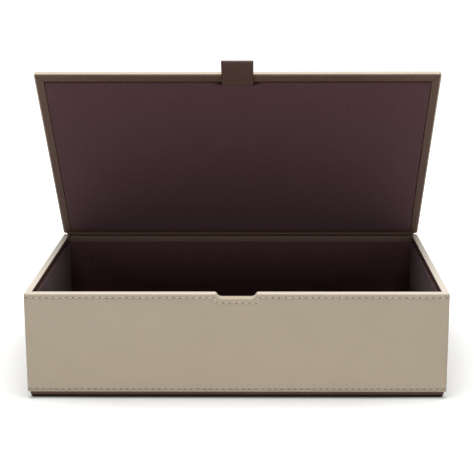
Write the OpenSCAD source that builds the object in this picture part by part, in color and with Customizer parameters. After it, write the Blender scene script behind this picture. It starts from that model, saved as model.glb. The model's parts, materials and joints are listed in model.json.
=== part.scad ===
// Stationery box: boards covered in leather, on a low plinth, with a lid on a leather hinge.
// The origin lies on the table under the centre of the body.
// X runs along the front, +Y points to the hinge and +Z points up.

/* [Body] */
// Width of the body over the leather
body_w = 320; // [260:1:400]
// Depth of the body over the leather
body_d = 195; // [150:1:260]
// Height of the leather walls, without the plinth
wall_h = 77.5; // [50:0.5:110]
// Radius of the upright outer corners
corner_r = 1.6; // [1:0.1:3]
// Radius of the rim's two long edges
rim_r = 1.4; // [0.6:0.1:2]

/* [Materials] */
// Thickness of the taupe leather
leather_t = 1; // [0.8:0.1:1.4]
// Thickness of the brown leather inside the rim and on the lid
facing_t = 1; // [0.8:0.1:1.4]
// Thickness of the wall boards
board_t = 3.3; // [2.4:0.1:5]
// Thickness of the floor board
floor_t = 2.5; // [2:0.1:4]
// Thickness of the fabric-covered liner panels
liner_t = 1.8; // [1.2:0.1:3]

/* [Base] */
// Height of the leather-covered plinth
plinth_h = 3; // [1.5:0.1:6]
// How far the plinth stands back from the walls
plinth_inset = 2; // [1:0.1:6]
// Height of the pad under the plinth
pad_h = 2.8; // [1.5:0.1:5]
// How far the pad stands back from the plinth
pad_inset = 0.6; // [0.2:0.1:3]
// Radius of the pad's lower edge
pad_r = 1.6; // [0.5:0.1:2]

/* [Finger notch] */
// Width of the notch at the rim
notch_w = 33; // [30:0.5:60]
// Width of the notch's flat floor
notch_flat = 22; // [14:0.5:26]
// Depth of the notch
notch_depth = 3.4; // [2.8:0.1:5]
// Radius of the notch's two upper shoulders
shoulder_r = 2; // [1:0.1:3]

/* [Interior] */
// Height of the brown facing that shows above the liner panels
facing_show = 6; // [4:0.5:12]
// Radius of a liner panel's top edges
liner_r = 0.7; // [0.3:0.1:0.9]

/* [Lid] */
// Angle of the lid from closed, as it stands at rest
lid_open = 53.3; // [20:0.1:110]
// Gap between the closed lid and the rim
closed_gap = 0.3; // [0.2:0.1:1]
// How far the lid's sides stand in from the body's
lid_side_gap = 0.5; // [0:0.1:2]
// How far the lid's front edge stands back from the body's
lid_front_gap = 2; // [0:0.1:3]
// Thickness of the board in the lid
lid_board_t = 2.5; // [2:0.1:4]
// Radius of the lid's upright corners
lid_corner_r = 2; // [1:0.1:4]
// Radius of the lid's top edges
lid_edge_r = 1.2; // [0.5:0.1:1.5]
// Width of the brown edging round the lining
edging_w = 6.2; // [4:0.1:12]
// How far the lining stands proud of the edging
lining_proud = 1; // [0.5:0.1:1.5]
// Radius of the lining's edges
lining_r = 0.8; // [0.3:0.1:0.9]

/* [Pull tab] */
// Width of the tab
tab_w = 25; // [18:0.5:26]
// Length of the tab beyond the lid's edge
tab_out = 15.5; // [8:0.5:25]
// Thickness of one of the tab's two plies
tab_ply = 0.9; // [0.6:0.1:1]
// Gap between the two plies
tab_slit = 0.2; // [0.1:0.05:0.3]
// Length of the tail that is tucked under the lining
tab_tuck = 8; // [5:0.5:15]
// How far the lining's edge dips at the tab
dip = 3.2; // [2:0.1:6]
// Width of each slope of the dip
dip_slope = 7.6; // [4:0.1:12]

/* [Hinge] */
// Radius of the hinge leather over the back wall's inner edge
hinge_r = 3; // [2:0.1:4]
// Length of the hinge leather down the inside of the back wall
hinge_down = 20; // [14:1:30]
// Width of the hinge leather on the lid
hinge_over = 5.5; // [4:0.1:12]
// Length of the spine leather down the back
spine_down = 18; // [12:1:30]
// Length of the spine leather over the lid
spine_over = 14; // [8:1:30]
// How far the side covers wrap round the back corners
back_wrap = 6; // [5.5:0.1:12]

/* [Stitching] */
// Distance from stitch to stitch
stitch_pitch = 4.93; // [3:0.01:8]
// Length of one stitch
stitch_l = 3.7; // [2:0.1:5]
// Width of the thread
thread_w = 0.6; // [0.4:0.05:0.9]
// Width of the groove in which the stitches lie
groove_w = 1; // [0.8:0.05:1.4]
// Depth of the groove
groove_d = 0.35; // [0.2:0.05:0.5]
// Distance of the top row from the rim
rim_row = 3.3; // [2.5:0.1:6]
// Distance of the bottom row from the lower edge
hem_row = 2; // [1.5:0.1:5]
// Distance of the row under the notch from the notch's floor
notch_row = 3.9; // [3:0.1:6]
// Distance from the ends of each row to the corners
row_end = 2.4; // [1.5:0.1:6]
// Distance of the spine's rows from its edges
spine_row = 2.2; // [1.5:0.1:4]

/* [Hidden] */
$fn = 48;
taupe = "#b5a892";
brown = "#54392b";
suede = "#2e221c";
aubergine = "#4a343b";
board = "#b3936a";
thread = "#ddd3bf";

// Overshoot of a cutting shape past the surface it cuts
over = 1;

// Levels and half widths of the body
base_h = pad_h + plinth_h;
rim_z = base_h + wall_h;
wall_t = leather_t + board_t + facing_t;
half_w = body_w / 2;
half_d = body_d / 2;
board_w = half_w - leather_t - board_t;
board_d = half_d - leather_t - board_t;
inner_w = half_w - wall_t;
inner_d = half_d - wall_t;
liner_foot = base_h + floor_t + liner_t;
liner_top = rim_z - facing_show;
mitre = wall_t + over;
spine_w = half_w - back_wrap;

// Axis of the hinge, in the middle of the spine leather's fold
hinge_y = half_d - leather_t / 2;
hinge_z = rim_z + closed_gap / 2;

// Levels and edges of the lid, as it lies when closed
lid_w = half_w - lid_side_gap;
lid_front = -half_d + lid_front_gap;
lid_len = half_d - lid_front;
lid_under = rim_z + closed_gap;
lid_base = lid_under + facing_t;
lid_top = lid_base + lid_board_t + leather_t;
frame_w = lid_w - leather_t;
frame_front = lid_front + leather_t;
frame_back = half_d - leather_t;
lining_w = frame_w - edging_w;
lining_front = frame_front + edging_w;
lining_back = frame_back - hinge_over;
lining_low = lid_under - lining_proud;

// Shoulder of the notch: two arcs that meet in a common tangent
notch_run = (notch_w - notch_flat) / 2;
floor_r = (pow(notch_run, 2) + pow(notch_depth, 2)) / (2 * notch_depth) - shoulder_r;
floor_centre = [notch_flat / 2, floor_r - notch_depth];
shoulder_centre = [notch_w / 2, -shoulder_r];
notch_turn = atan2(shoulder_centre[1] - floor_centre[1], shoulder_centre[0] - floor_centre[0]);
notch_steps = 8;
notch_right = concat(
    [[notch_flat / 2, -notch_depth]],
    arc(floor_centre, floor_r, -90, notch_turn, notch_steps),
    arc(shoulder_centre, shoulder_r, notch_turn + 180, 90, notch_steps),
    [[notch_w / 2, over]]
);
notch_left = [for (i = [len(notch_right) - 1 : -1 : 0]) [-notch_right[i][0], notch_right[i][1]]];

// Corners of the top row of stitches, from one end to the notch and below it
step_x = notch_w / 2 + 0.6;
step_in = 2.4;
row_low = -notch_depth - notch_row;
rim_row_points = [
    [-half_w + row_end, -rim_row],
    [-step_x, -rim_row],
    [-step_x + step_in, row_low],
    [step_x - step_in, row_low],
    [step_x, -rim_row],
    [half_w - row_end, -rim_row]
];
side_row_points = [[-half_d + row_end, -rim_row], [half_d - row_end, -rim_row]];
hem_z = -wall_h + hem_row;
front_hem_points = [[-half_w + row_end, hem_z], [half_w - row_end, hem_z]];
side_hem_points = [[-half_d + row_end, hem_z], [half_d - row_end, hem_z]];
back_hem_points = [[-spine_w + row_end, hem_z], [spine_w - row_end, hem_z]];
spine_z = -spine_down + spine_row;
spine_row_points = [[-spine_w + row_end, spine_z], [spine_w - row_end, spine_z]];
lid_row_y = frame_back - spine_over + spine_row;
lid_row_points = [[-spine_w + row_end, lid_row_y], [spine_w - row_end, lid_row_y]];

// Points of an arc after its first one, from one angle to another
function arc(centre, r, from, to, steps) = [
    for (i = [1 : steps])
        let(a = from + (to - from) * i / steps) centre + r * [cos(a), sin(a)]
];

// Extrude a drawing of Y and Z along X, and a drawing of X and Z along Y
module along_x(length) {
    rotate([90, 0, 90]) linear_extrude(length, center = true) children();
}

module along_y(length) {
    rotate([90, 0, 0]) linear_extrude(length, center = true) children();
}

// Lay a drawing into a wall's outer face, with the rim as its zero level
module into_front(depth) {
    translate([0, -half_d + depth, rim_z]) rotate([90, 0, 0]) linear_extrude(depth) children();
}

module into_back(depth) {
    translate([0, half_d, rim_z]) rotate([90, 0, 0]) linear_extrude(depth) children();
}

module into_right(depth) {
    translate([half_w - depth, 0, rim_z]) rotate([90, 0, 90]) linear_extrude(depth) children();
}

module into_left(depth) {
    mirror([1, 0, 0]) into_right(depth) children();
}

// Box given by its lowest and highest corners
module block(low, high) {
    translate(low) cube(high - low);
}

module rounded_rect(width, depth, r) {
    square([width - 2 * r, depth], center = true);
    square([width, depth - 2 * r], center = true);
    for (x = [-1, 1], y = [-1, 1])
        translate([x * (width / 2 - r), y * (depth / 2 - r)]) circle(r);
}

// Section that stands on zero and has both its top edges rounded
module rounded_top(width, height, r) {
    square([width, height - r]);
    translate([r, 0]) square([width - 2 * r, height]);
    for (x = [r, width - r])
        translate([x, height - r]) circle(r);
}

// Slab on zero with rounded top edges and rounded upright corners
module slab(width, depth, height, edge_r, upright_r) {
    intersection() {
        translate([0, -depth / 2, 0]) along_x(width) rounded_top(depth, height, edge_r);
        translate([-width / 2, 0, 0]) along_y(depth) rounded_top(width, height, edge_r);
        linear_extrude(height) rounded_rect(width, depth, upright_r);
    }
}

// Bar of a given width between two points
module bar(a, b, width) {
    run = b - a;
    translate(a) rotate(atan2(run[1], run[0])) translate([0, -width / 2]) square([norm(run), width]);
}

// Groove under a row of stitches
module row_groove(points) {
    for (i = [1 : len(points) - 1])
        bar(points[i - 1], points[i], groove_w);
    for (p = points)
        translate(p) circle(d = groove_w);
}

// Stitches of a row, evenly spaced on each straight stretch
module row_stitches(points) {
    for (i = [1 : len(points) - 1]) {
        a = points[i - 1];
        run = points[i] - a;
        count = max(1, round(norm(run) / stitch_pitch));
        reach = min(stitch_l, norm(run) / count * 0.8);
        for (k = [0 : count - 1])
            translate(a + run * (k + 0.5) / count)
                rotate(atan2(run[1], run[0]))
                    square([reach, thread_w], center = true);
    }
}

// Outline that is cut out of the front wall, with the rim as its zero level
module notch_outline() {
    polygon(concat(notch_right, notch_left));
}

// Carry an outline through the front wall, with the rim as its zero level
module through_front(extra) {
    translate([0, -half_d + wall_t / 2, rim_z]) along_y(wall_t + 2 * extra) children();
}

module notch_cut(drop) {
    through_front(over) translate([0, -drop]) notch_outline();
}

// Section of a leather cover: a skin outside the board that turns over the rim
module cover_section() {
    difference() {
        rounded_top(wall_t, wall_h, rim_r);
        translate([leather_t, -over]) square([wall_t, wall_h - leather_t + over]);
    }
}

// The body's outer shape, with rounded corners and outer rim edges
module body_envelope() {
    translate([0, 0, base_h]) slab(body_w, body_d, wall_h, rim_r, corner_r);
}

// Base
module base_pad() {
    pad_w = body_w - 2 * (plinth_inset + pad_inset);
    pad_d = body_d - 2 * (plinth_inset + pad_inset);
    color(suede)
        translate([0, 0, pad_h]) mirror([0, 0, 1]) slab(pad_w, pad_d, pad_h, pad_r, corner_r);
}

module plinth() {
    color(brown)
        translate([0, 0, pad_h]) linear_extrude(plinth_h)
            rounded_rect(body_w - 2 * plinth_inset, body_d - 2 * plinth_inset, corner_r);
}

// Boards
module floor_board() {
    color(board)
        block([-board_w, -board_d, base_h], [board_w, board_d, base_h + floor_t]);
}

module front_board() {
    color(board)
        difference() {
            block([-board_w, -half_d + leather_t, base_h], [board_w, -board_d, rim_z - leather_t]);
            notch_cut(leather_t);
        }
}

// The inner top edge is rounded for the hinge leather
module back_board() {
    board_r = hinge_r - facing_t;
    color(board)
        along_x(2 * board_w) {
            translate([board_d, base_h]) square([board_t, wall_h - leather_t - board_r]);
            translate([board_d + board_r, base_h])
                square([board_t - board_r, wall_h - leather_t]);
            translate([board_d + board_r, rim_z - leather_t - board_r])
                intersection() {
                    circle(board_r);
                    translate([-board_r, 0]) square(board_r);
                }
        }
}

module left_board() {
    color(board)
        block(
            [-half_w + leather_t, -half_d + leather_t, base_h],
            [-board_w, half_d - leather_t, rim_z - leather_t]
        );
}

module right_board() {
    color(board) mirror([1, 0, 0]) left_board();
}

// Leather covers
// The front cover is mitred at its ends, and a lip of its leather lines the notch
module front_leather() {
    color(taupe)
        difference() {
            union() {
                difference() {
                    intersection() {
                        translate([0, -half_d, base_h]) along_x(body_w) cover_section();
                        body_envelope();
                        linear_extrude(rim_z)
                            polygon([
                                [-half_w, -half_d],
                                [half_w, -half_d],
                                [half_w - mitre, -half_d + mitre],
                                [-half_w + mitre, -half_d + mitre]
                            ]);
                    }
                    notch_cut(0);
                }
                through_front(0)
                    difference() {
                        translate([0, -leather_t]) notch_outline();
                        notch_outline();
                    }
            }
            into_front(groove_d) row_groove(rim_row_points);
            into_front(groove_d) row_groove(front_hem_points);
        }
}

// A side cover is mitred to the front cover and wraps round the back corner
module right_cover() {
    difference() {
        intersection() {
            body_envelope();
            union() {
                intersection() {
                    translate([half_w, 0, base_h]) mirror([1, 0, 0]) along_y(body_d) cover_section();
                    linear_extrude(rim_z)
                        polygon([
                            [half_w, -half_d],
                            [half_w, half_d],
                            [half_w - mitre, half_d],
                            [half_w - mitre, -half_d + mitre]
                        ]);
                }
                block([spine_w, half_d - leather_t, base_h], [half_w, half_d, rim_z]);
            }
        }
        into_right(groove_d) row_groove(side_row_points);
        into_right(groove_d) row_groove(side_hem_points);
    }
}

module right_leather() {
    color(taupe) right_cover();
}

module left_leather() {
    color(taupe) mirror([1, 0, 0]) right_cover();
}

module back_leather() {
    color(taupe)
        difference() {
            block([-spine_w, half_d - leather_t, base_h], [spine_w, half_d, rim_z - spine_down]);
            into_back(groove_d) row_groove(back_hem_points);
        }
}

// Brown facings inside the walls
module front_facing() {
    color(brown)
        difference() {
            block([-inner_w, -board_d, base_h + floor_t], [inner_w, -inner_d, rim_z - leather_t]);
            notch_cut(leather_t);
        }
}

module back_facing() {
    color(brown)
        block([-inner_w, inner_d, base_h + floor_t], [inner_w, board_d, rim_z - hinge_down]);
}

module left_facing() {
    color(brown)
        block([-board_w, -board_d, base_h + floor_t], [-inner_w, board_d, rim_z - leather_t]);
}

module right_facing() {
    color(brown) mirror([1, 0, 0]) left_facing();
}

// Fabric-covered liner panels
module floor_liner() {
    color(aubergine)
        block([-inner_w, -inner_d, base_h + floor_t], [inner_w, inner_d, liner_foot]);
}

module liner_section() {
    rounded_top(liner_t, liner_top - liner_foot, liner_r);
}

module front_liner() {
    color(aubergine)
        translate([0, -inner_d, liner_foot]) along_x(2 * (inner_w - liner_t)) liner_section();
}

module back_liner() {
    color(aubergine) mirror([0, 1, 0]) front_liner();
}

module left_liner() {
    color(aubergine) translate([-inner_w, 0, liner_foot]) along_y(2 * inner_d) liner_section();
}

module right_liner() {
    color(aubergine) mirror([1, 0, 0]) left_liner();
}

// Stitching of the body: each node is a set of separate stitches in one kind of row
module rim_stitching() {
    color(thread) {
        into_front(groove_d) row_stitches(rim_row_points);
        into_left(groove_d) row_stitches(side_row_points);
        into_right(groove_d) row_stitches(side_row_points);
    }
}

module hem_stitching() {
    color(thread) {
        into_front(groove_d) row_stitches(front_hem_points);
        into_back(groove_d) row_stitches(back_hem_points);
        into_left(groove_d) row_stitches(side_hem_points);
        into_right(groove_d) row_stitches(side_hem_points);
    }
}

module spine_stitching() {
    color(thread) into_back(groove_d) row_stitches(spine_row_points);
}

// Lid: each piece is drawn as it lies when closed and is then swung open
module swung() {
    translate([0, hinge_y, hinge_z]) rotate([-lid_open, 0, 0]) translate([0, -hinge_y, -hinge_z])
        children();
}

module lid_board() {
    color(board)
        swung() block([-frame_w, frame_front, lid_base], [frame_w, frame_back, lid_top - leather_t]);
}

module lid_cover() {
    color(taupe)
        swung() difference() {
            translate([0, lid_front + lid_len / 2, lid_base])
                slab(2 * lid_w, lid_len, lid_top - lid_base, lid_edge_r, lid_corner_r);
            block(
                [-frame_w, frame_front, lid_base - over],
                [frame_w, frame_back, lid_top - leather_t]
            );
            block(
                [-spine_w, frame_back - spine_over, lid_top - leather_t],
                [spine_w, half_d + over, lid_top + over]
            );
            block(
                [-spine_w, frame_back, lid_base - over],
                [spine_w, half_d + over, lid_top + over]
            );
        }
}

module lid_front_edging() {
    color(brown)
        swung() translate([0, 0, lid_under]) linear_extrude(facing_t)
            polygon([
                [-frame_w, frame_front],
                [frame_w, frame_front],
                [lining_w, lining_front],
                [-lining_w, lining_front]
            ]);
}

module right_edging() {
    swung() translate([0, 0, lid_under]) linear_extrude(facing_t)
        polygon([
            [frame_w, frame_front],
            [frame_w, frame_back],
            [lining_w, frame_back],
            [lining_w, lining_front]
        ]);
}

module lid_right_edging() {
    color(brown) right_edging();
}

module lid_left_edging() {
    color(brown) mirror([1, 0, 0]) right_edging();
}

// The padded lining dips round the pull tab, whose tail lies in a pocket above it
module lid_lining() {
    lining_len = lining_back - lining_front;
    tab_side = tab_w / 2;
    mouth = tab_side + dip_slope * (dip + over) / dip;
    color(aubergine)
        swung() difference() {
            translate([0, lining_front + lining_len / 2, lid_base]) mirror([0, 0, 1])
                slab(2 * lining_w, lining_len, lid_base - lining_low, lining_r, lining_r);
            translate([0, 0, lining_low - over]) linear_extrude(lid_base - lining_low + 2 * over)
                polygon([
                    [-mouth, lining_front - over],
                    [mouth, lining_front - over],
                    [tab_side, lining_front + dip],
                    [-tab_side, lining_front + dip]
                ]);
            block(
                [-tab_side, lining_front, lid_under],
                [tab_side, lining_front + dip + tab_tuck, lid_base + over]
            );
        }
}

module lid_stitching() {
    color(thread)
        swung() translate([0, 0, lid_top - groove_d]) linear_extrude(groove_d)
            row_stitches(lid_row_points);
}

// Section of the tab: two plies folded at the tip, and a tail one ply thick
module tab_section() {
    fold_r = tab_ply + tab_slit / 2;
    tip = lid_front - tab_out + fold_r;
    inner_end = lining_front + dip;
    difference() {
        union() {
            translate([tip, lid_under - 2 * fold_r]) square([inner_end - tip, 2 * fold_r]);
            translate([tip, lid_under - fold_r]) circle(fold_r);
        }
        translate([tip, lid_under - fold_r - tab_slit / 2])
            square([inner_end - tip + over, tab_slit]);
        translate([tip, lid_under - fold_r]) circle(d = tab_slit);
    }
    translate([lining_front, lid_under]) square([dip + tab_tuck, facing_t]);
}

module pull_tab() {
    color(brown) swung() along_x(tab_w) tab_section();
}

// Turn a drawing of Y and Z with the lid
module swung_section() {
    translate([hinge_y, hinge_z]) rotate(-lid_open) translate([-hinge_y, -hinge_z]) children();
}

// Outer hinge: up the back wall, round the fold, up the lid's edge and over its top
module spine_section() {
    translate([half_d - leather_t, rim_z - spine_down])
        square([leather_t, spine_down + hinge_z - rim_z]);
    translate([hinge_y, hinge_z]) circle(d = leather_t);
    swung_section() {
        translate([frame_back, hinge_z]) square([leather_t, lid_base - hinge_z]);
        difference() {
            translate([lid_front, lid_base])
                rounded_top(lid_len, lid_top - lid_base, lid_edge_r);
            translate([lid_front - over, lid_base - over])
                square([frame_back - spine_over - lid_front + over, lid_top]);
            translate([lid_front - over, lid_base - over])
                square([frame_back - lid_front + over, lid_board_t + over]);
        }
    }
}

module spine_leather() {
    color(taupe)
        difference() {
            along_x(2 * spine_w) spine_section();
            into_back(groove_d) row_groove(spine_row_points);
            swung() translate([0, 0, lid_top - groove_d]) linear_extrude(groove_d + over)
                row_groove(lid_row_points);
        }
}

// Inner hinge, on the wall: up the inner face, round the edge and across the top
module hinge_wall_section() {
    bend_y = inner_d + hinge_r;
    bend_z = rim_z - hinge_r;
    translate([inner_d, rim_z - hinge_down]) square([facing_t, hinge_down - hinge_r]);
    translate([bend_y, bend_z])
        intersection() {
            difference() {
                circle(hinge_r);
                circle(hinge_r - facing_t);
            }
            translate([-hinge_r, 0]) square(hinge_r);
        }
    translate([bend_y, rim_z - facing_t]) square([frame_back - bend_y, facing_t]);
}

// Inner hinge, from the wall's top through the fold to the lid
module hinge_lid_section() {
    from_fold = leather_t / 2 + facing_t / 2;
    wall_end = [hinge_y - from_fold, rim_z - facing_t / 2];
    reach = [-from_fold, lid_under + facing_t / 2 - hinge_z];
    lid_end = [
        hinge_y + reach[0] * cos(lid_open) + reach[1] * sin(lid_open),
        hinge_z - reach[0] * sin(lid_open) + reach[1] * cos(lid_open)
    ];
    difference() {
        bar(wall_end, lid_end, facing_t);
        spine_section();
    }
    swung_section()
        translate([lining_back, lid_under]) square([hinge_over, facing_t]);
}

module hinge_leather() {
    color(brown) {
        along_x(2 * inner_w) hinge_wall_section();
        along_x(2 * lining_w) hinge_lid_section();
    }
}

base_pad();
plinth();
floor_board();
front_board();
back_board();
left_board();
right_board();
front_leather();
back_leather();
left_leather();
right_leather();
front_facing();
back_facing();
left_facing();
right_facing();
floor_liner();
front_liner();
back_liner();
left_liner();
right_liner();
rim_stitching();
hem_stitching();
spine_stitching();
lid_board();
lid_cover();
lid_front_edging();
lid_left_edging();
lid_right_edging();
lid_lining();
lid_stitching();
pull_tab();
hinge_leather();
spine_leather();
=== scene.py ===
# %% [markdown]
# # A leather stationery box with a hinged lid
#
# This lesson dresses a finished CAD model of a long, low keepsake box. The walls are boards
# wrapped in pale taupe leather and sewn with cream thread. They stand on a low brown plinth, and
# the lid hangs on a leather hinge. The lid has a mitred brown edging, a padded aubergine lining
# and a folded pull tab that closes into a finger notch.
#
# The CAD model gives the main sizes and places, and only small ones, such as a rounding or the
# length of a stitch, are chosen here. Each soft or sewn piece is modelled again by hand, with
# primitives, edit mode and modifiers, and then stands for its CAD solid. All lengths are in
# metres.

# %% Load the CAD model and keep its size
import json
import math

import bmesh
import bpy
from mathutils import Matrix, Vector

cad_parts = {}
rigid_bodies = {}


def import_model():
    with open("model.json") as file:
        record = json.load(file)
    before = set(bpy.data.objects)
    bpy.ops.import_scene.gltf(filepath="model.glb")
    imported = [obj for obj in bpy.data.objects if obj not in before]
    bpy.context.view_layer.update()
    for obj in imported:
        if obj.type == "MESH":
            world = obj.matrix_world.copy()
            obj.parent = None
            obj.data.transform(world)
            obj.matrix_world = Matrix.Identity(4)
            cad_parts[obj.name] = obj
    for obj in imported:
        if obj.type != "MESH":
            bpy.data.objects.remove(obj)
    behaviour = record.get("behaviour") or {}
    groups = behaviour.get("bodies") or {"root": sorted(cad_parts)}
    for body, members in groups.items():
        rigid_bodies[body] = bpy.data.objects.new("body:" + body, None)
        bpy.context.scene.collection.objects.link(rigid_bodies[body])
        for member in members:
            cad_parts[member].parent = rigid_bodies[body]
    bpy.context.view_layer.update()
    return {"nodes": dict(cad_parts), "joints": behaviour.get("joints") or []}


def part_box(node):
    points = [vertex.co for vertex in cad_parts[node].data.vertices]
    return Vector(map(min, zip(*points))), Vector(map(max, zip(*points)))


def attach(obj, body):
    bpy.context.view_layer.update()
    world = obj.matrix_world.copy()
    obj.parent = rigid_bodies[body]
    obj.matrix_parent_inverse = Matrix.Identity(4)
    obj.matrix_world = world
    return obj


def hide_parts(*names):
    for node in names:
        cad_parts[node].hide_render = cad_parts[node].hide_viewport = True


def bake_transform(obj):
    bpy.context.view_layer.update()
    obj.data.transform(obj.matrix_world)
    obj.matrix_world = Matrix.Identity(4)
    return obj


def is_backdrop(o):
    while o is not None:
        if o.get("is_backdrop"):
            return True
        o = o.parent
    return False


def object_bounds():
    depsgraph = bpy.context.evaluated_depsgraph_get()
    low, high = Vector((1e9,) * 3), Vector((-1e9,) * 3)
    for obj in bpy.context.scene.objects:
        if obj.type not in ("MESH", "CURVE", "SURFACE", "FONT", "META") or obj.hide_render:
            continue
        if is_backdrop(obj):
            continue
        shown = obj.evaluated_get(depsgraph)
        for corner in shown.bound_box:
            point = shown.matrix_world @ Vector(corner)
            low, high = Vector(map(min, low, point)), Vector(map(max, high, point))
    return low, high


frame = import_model()
print("CAD nodes:", len(frame["nodes"]))

# %% [markdown]
# ## Sizes that the pieces share
#
# The corners of a few CAD nodes give the walls, and the joint gives the hinge line. The rest are
# the maker's own small sizes, in millimetres times `mm`: the leather is 1 mm thick, the walls
# 5.3 mm with their boards, and the finger notch 33 mm wide. A value is named once and used by
# every piece that needs it. The width is the front cover's, which stops half a millimetre short
# of the side covers' outer faces in the CAD model. The leather is drawn 0.1 mm thinner than it is,
# so that its inner face never lies in the same place as the board behind it.

# %% Take the sizes from the CAD nodes
mm = 0.001
half_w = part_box("front_leather")[1].x
front_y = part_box("front_leather")[0].y
back_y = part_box("back_leather")[1].y
foot_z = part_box("front_leather")[0].z
rim_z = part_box("front_leather")[1].z
hinge = Vector(frame["joints"][0]["pos_m"])
lid_open = -frame["joints"][0]["range_deg"][0]
leather_t = 1 * mm
drawn_t = 0.9 * mm
wall_t = 5.3 * mm
rim_r = 1.4 * mm
corner_r = 1.6 * mm
back_wrap = 6 * mm
spine_w = half_w - back_wrap
inner_w = half_w - wall_t
inner_y = back_y - wall_t
spine_down, spine_over = 18 * mm, 14 * mm
row_in = 2.2 * mm
notch_half, notch_flat, notch_depth = 16.5 * mm, 11 * mm, 3.4 * mm
tab_half, tab_out = 12.5 * mm, 15.5 * mm
print("walls", round(2 * half_w / mm), "by", round((back_y - front_y) / mm), "mm, lid open", lid_open)

# %% [markdown]
# ## The camera
#
# The photograph looks down on the box by a little over 13 degrees from almost straight in front.
# The angle, the distance and the lens were worked out from the corners of the walls and of the
# lid. The camera is made first, because every later choice is judged through it. It is turned
# with a matrix: its own X points right, its Y up, and it looks along its -Z. A small shift of the
# lens does what cropping the photograph did.

# %% Place the camera
picture_px, focal_px, centre_px = 474, 1221.15, 250.0
pitch, yaw, roll = (math.radians(a) for a in (13.4175, 0.4624, -0.0981))
stand = Vector((0.03212, -2.74878, 1.03488)) * 2 * half_w
turn = Matrix.Rotation(yaw, 3, "Z")
right = turn @ Vector((1, 0, 0))
up = turn @ Vector((0, math.sin(pitch), math.cos(pitch)))
right, up = (
    right * math.cos(roll) + up * math.sin(roll),
    up * math.cos(roll) - right * math.sin(roll),
)
back = right.cross(up)
spot = turn @ stand + Vector((0, front_y, foot_z))

camera_data = bpy.data.cameras.new("photo_camera")
camera = bpy.data.objects.new("photo_camera", camera_data)
bpy.context.scene.collection.objects.link(camera)
camera.matrix_world = Matrix(
    (
        (right.x, up.x, back.x, spot.x),
        (right.y, up.y, back.y, spot.y),
        (right.z, up.z, back.z, spot.z),
        (0, 0, 0, 1),
    )
)
camera_data.sensor_width = 36
camera_data.lens = focal_px * camera_data.sensor_width / picture_px
camera_data.shift_x = 0.5 - centre_px / picture_px
camera_data.clip_start, camera_data.clip_end = 0.05, 30
bpy.context.scene.camera = camera
print("lens", round(camera_data.lens, 1), "mm, stands at", [round(x, 3) for x in spot])

# %% [markdown]
# ## Helpers for modelling by hand
#
# Every operator acts on what is selected, and the CAD nodes are still selected after loading. So
# each piece starts with nothing selected. `pick` selects vertices, edges or faces in edit mode by
# a test on their place or their normal, as a modeller would click on them. `keep` applies a
# modifier as soon as it is set, so that a finished piece is a plain mesh. `place` gives the piece
# its finish, hangs it on its body and lets it stand for its CAD node.

# %% Define the modelling helpers
def let_go():
    if bpy.context.object and bpy.context.object.mode != "OBJECT":
        bpy.ops.object.mode_set(mode="OBJECT")
    bpy.ops.object.select_all(action="DESELECT")


def hold(piece):
    let_go()
    piece.select_set(True)
    bpy.context.view_layer.objects.active = piece


def named(name):
    piece = bpy.context.object
    bpy.ops.object.transform_apply(location=True, rotation=True, scale=True)
    piece.name = piece.data.name = name
    return piece


def block(name, low, high):
    let_go()
    low, high = Vector(low), Vector(high)
    bpy.ops.mesh.primitive_cube_add(size=1, location=(low + high) / 2, scale=high - low)
    return named(name)


def open_up(piece):
    hold(piece)
    bpy.ops.object.mode_set(mode="EDIT")


def pick(kind, wanted):
    bpy.ops.mesh.select_mode(type=kind)
    bpy.ops.mesh.select_all(action="DESELECT")
    mesh = bpy.context.object.data
    shape = bmesh.from_edit_mesh(mesh)
    parts = {"VERT": shape.verts, "EDGE": shape.edges, "FACE": shape.faces}[kind]
    for part in [p for p in parts if wanted(p)]:
        part.select_set(True)
    shape.select_flush_mode()
    bmesh.update_edit_mesh(mesh)


def pick_all():
    bpy.ops.mesh.select_mode(type="FACE")
    bpy.ops.mesh.select_all(action="SELECT")


def near(a, b, slack=0.05 * mm):
    return abs(a - b) < slack


def middle(edge):
    return (edge.verts[0].co + edge.verts[1].co) / 2


def upright(edge):
    return abs((edge.verts[1].co - edge.verts[0].co).normalized().z) > 0.9


def at_level(edge, z):
    return near(edge.verts[0].co.z, z) and near(edge.verts[1].co.z, z)


def centre_of(face):
    return face.calc_center_median()


def on_rim(edge):
    return len(edge.link_faces) == 1


def slice_at(point, normal):
    bpy.ops.mesh.bisect(plane_co=point, plane_no=normal, use_fill=False)


def round_off(width, steps):
    bpy.ops.mesh.bevel(offset=width, segments=steps, affect="EDGES", clamp_overlap=False)


def keep(piece, kind, **settings):
    hold(piece)
    added = piece.modifiers.new(kind.title(), kind)
    for key, value in settings.items():
        setattr(added, key, value)
    bpy.ops.object.modifier_apply(modifier=added.name)


def thicken(piece, thickness=drawn_t):
    keep(piece, "SOLIDIFY", thickness=thickness, offset=-1, use_even_offset=True)


def smooth(piece, angle=40):
    hold(piece)
    bpy.ops.object.shade_smooth_by_angle(angle=math.radians(angle))
    keep(piece, "WEIGHTED_NORMAL", weight=60, keep_sharp=True)


def swing(piece):
    """Turns a piece that was modelled on the closed lid, so that it lies on the open one."""
    hold(piece)
    turned = Matrix.Rotation(math.radians(-lid_open), 4, "X")
    piece.matrix_world = Matrix.Translation(hinge) @ turned @ Matrix.Translation(-hinge)
    bpy.ops.object.transform_apply(location=True, rotation=True, scale=True)


def cover_with(finish, piece):
    piece.data.materials.clear()
    piece.data.materials.append(finish)


def settle(piece, body, cad_node):
    """Puts the finished piece on its body, in place of its CAD node."""
    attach(piece, body)
    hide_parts(cad_node)


def place(piece, body, finish, cad_node):
    cover_with(finish, piece)
    settle(piece, body, cad_node)


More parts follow.
